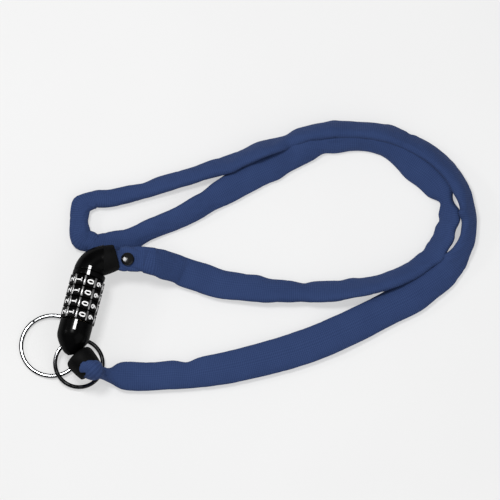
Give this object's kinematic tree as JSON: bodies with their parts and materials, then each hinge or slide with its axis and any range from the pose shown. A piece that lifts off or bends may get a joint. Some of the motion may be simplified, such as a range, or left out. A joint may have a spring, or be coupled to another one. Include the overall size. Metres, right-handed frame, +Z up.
{
  "type": "combination chain lock",
  "caption": "Chain lock: black barrel with number dials and a pull-out plug, angled end sockets, a long blue woven sleeve over the chain, and two split rings.",
  "frame": {"origin": "on the floor, under the middle of the barrel with its end sockets and its two rings", "axes": "+Y along the barrel towards the plug, which pulls out that way; +Z up, out of the dials' reading line"},
  "size_m": [0.2598, 0.2103, 0.0295],
  "materials": {
    "gloss_black": "gloss",
    "matte_black": "matte",
    "steel": "satin",
    "chrome": "polished",
    "zinc": "cast",
    "brass": "turned",
    "white_ink": "satin",
    "blue_cloth": "woven"
  },
  "bodies": {
    "barrel": {"lower_housing": "gloss_black", "upper_collar": "gloss_black", "core_tube": "zinc", "detent_leaf": "steel", "index_lower": "white_ink", "index_collar": "white_ink", "lower_socket": "matte_black", "lower_cross_pin": "steel", "chain_end_link": "steel", "ring_eye": "steel", "sleeve": "blue_cloth"},
    "dial_1": {"dial_1": "gloss_black", "code_ring_1": "brass"},
    "dial_2": {"dial_2": "gloss_black", "code_ring_2": "brass"},
    "dial_3": {"dial_3": "gloss_black", "code_ring_3": "brass"},
    "dial_4": {"dial_4": "gloss_black", "code_ring_4": "brass"},
    "plug": {"plug_elbow": "gloss_black", "index_plug": "white_ink", "upper_socket": "matte_black", "bolt_pin": "steel", "upper_cross_pin": "steel", "tie_strip": "steel", "sleeve_cuff": "blue_cloth", "sleeve_rivet": "gloss_black"},
    "big_ring": {"big_ring": "chrome"},
    "small_ring": {"small_ring": "chrome"}
  },
  "joints": [
    {"name": "dial_1_turn", "type": "hinge", "parent": "barrel", "child": "dial_1", "pos_m": [0.0051, 0.0176, 0.0185], "axis": [0, 1, 0], "continuous": true},
    {"name": "dial_2_turn", "type": "hinge", "parent": "barrel", "child": "dial_2", "pos_m": [0.0051, 0.0104, 0.0185], "axis": [0, 1, 0], "continuous": true},
    {"name": "dial_3_turn", "type": "hinge", "parent": "barrel", "child": "dial_3", "pos_m": [0.0051, 0.0032, 0.0185], "axis": [0, 1, 0], "continuous": true},
    {"name": "dial_4_turn", "type": "hinge", "parent": "barrel", "child": "dial_4", "pos_m": [0.0051, -0.004, 0.0185], "axis": [0, 1, 0], "continuous": true},
    {"name": "plug_slide", "type": "slide", "parent": "barrel", "child": "plug", "axis": [0, 1, 0], "range_m": [0, 0.042]},
    {"name": "big_ring_swing", "type": "hinge", "parent": "barrel", "child": "big_ring", "pos_m": [0.0104, -0.0152, 0.00351], "axis": [0.3864, -0.9223, -0.0005], "range_deg": [0, 100]},
    {"name": "small_ring_swivel", "type": "hinge", "parent": "barrel", "child": "small_ring", "pos_m": [0.0104, -0.0152, 0.00605], "axis": [0.1089, -0.0891, 0.9901], "range_deg": [-20, 8]}
  ]
}
